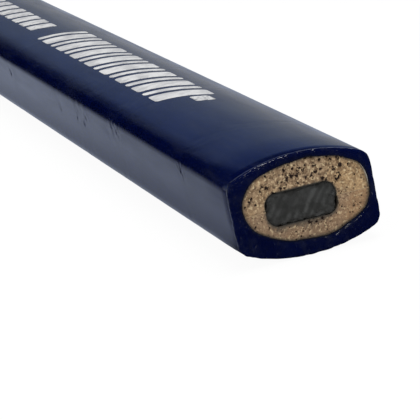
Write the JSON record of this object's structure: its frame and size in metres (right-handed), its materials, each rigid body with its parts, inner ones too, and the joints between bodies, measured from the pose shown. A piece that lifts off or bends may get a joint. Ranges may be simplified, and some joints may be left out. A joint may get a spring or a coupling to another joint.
{
  "type": "carpenter pencil",
  "caption": "Flat wood-cased carpenter pencil with crowned wide faces, a flat graphite lead, a glossy navy lacquer coat that laps over both cut ends, and a pale foil marking of slanted bars.",
  "frame": {"origin": "middle of the pencil's length, width and thickness", "axes": "+X along the pencil to its front end, +Y across its width, +Z out of the wide face that carries the foil marking"},
  "size_m": [0.175, 0.012, 0.0084],
  "materials": {
    "wood": "matte",
    "graphite": "satin",
    "glue": "satin",
    "primer": "matte",
    "lacquer": "gloss",
    "foil": "satin"
  },
  "bodies": {
    "root": {"upper_slat": "wood", "lower_slat": "wood", "graphite_lead": "graphite", "glue_seam_left": "glue", "glue_seam_right": "glue", "glue_bed_upper": "glue", "glue_bed_lower": "glue", "primer_coat": "primer", "lacquer_coat": "lacquer", "foil_emblem": "foil", "foil_wide_bar_1": "foil", "foil_narrow_bar_1": "foil", "foil_wide_bar_2": "foil", "foil_narrow_bar_2": "foil", "foil_wide_bar_3": "foil", "foil_narrow_bar_3": "foil", "foil_wide_bar_4": "foil", "foil_narrow_bar_4": "foil", "foil_wide_bar_5": "foil", "foil_narrow_bar_5": "foil", "foil_wide_bar_6": "foil", "foil_narrow_bar_6": "foil", "foil_wide_bar_7": "foil", "foil_narrow_bar_7": "foil", "foil_wide_bar_8": "foil", "foil_narrow_bar_8": "foil", "foil_block_1": "foil", "foil_block_2": "foil", "foil_block_3": "foil", "foil_block_4": "foil", "foil_block_5": "foil", "foil_block_6": "foil", "foil_block_7": "foil", "foil_block_8": "foil", "foil_block_9": "foil"}
  },
  "joints": []
}
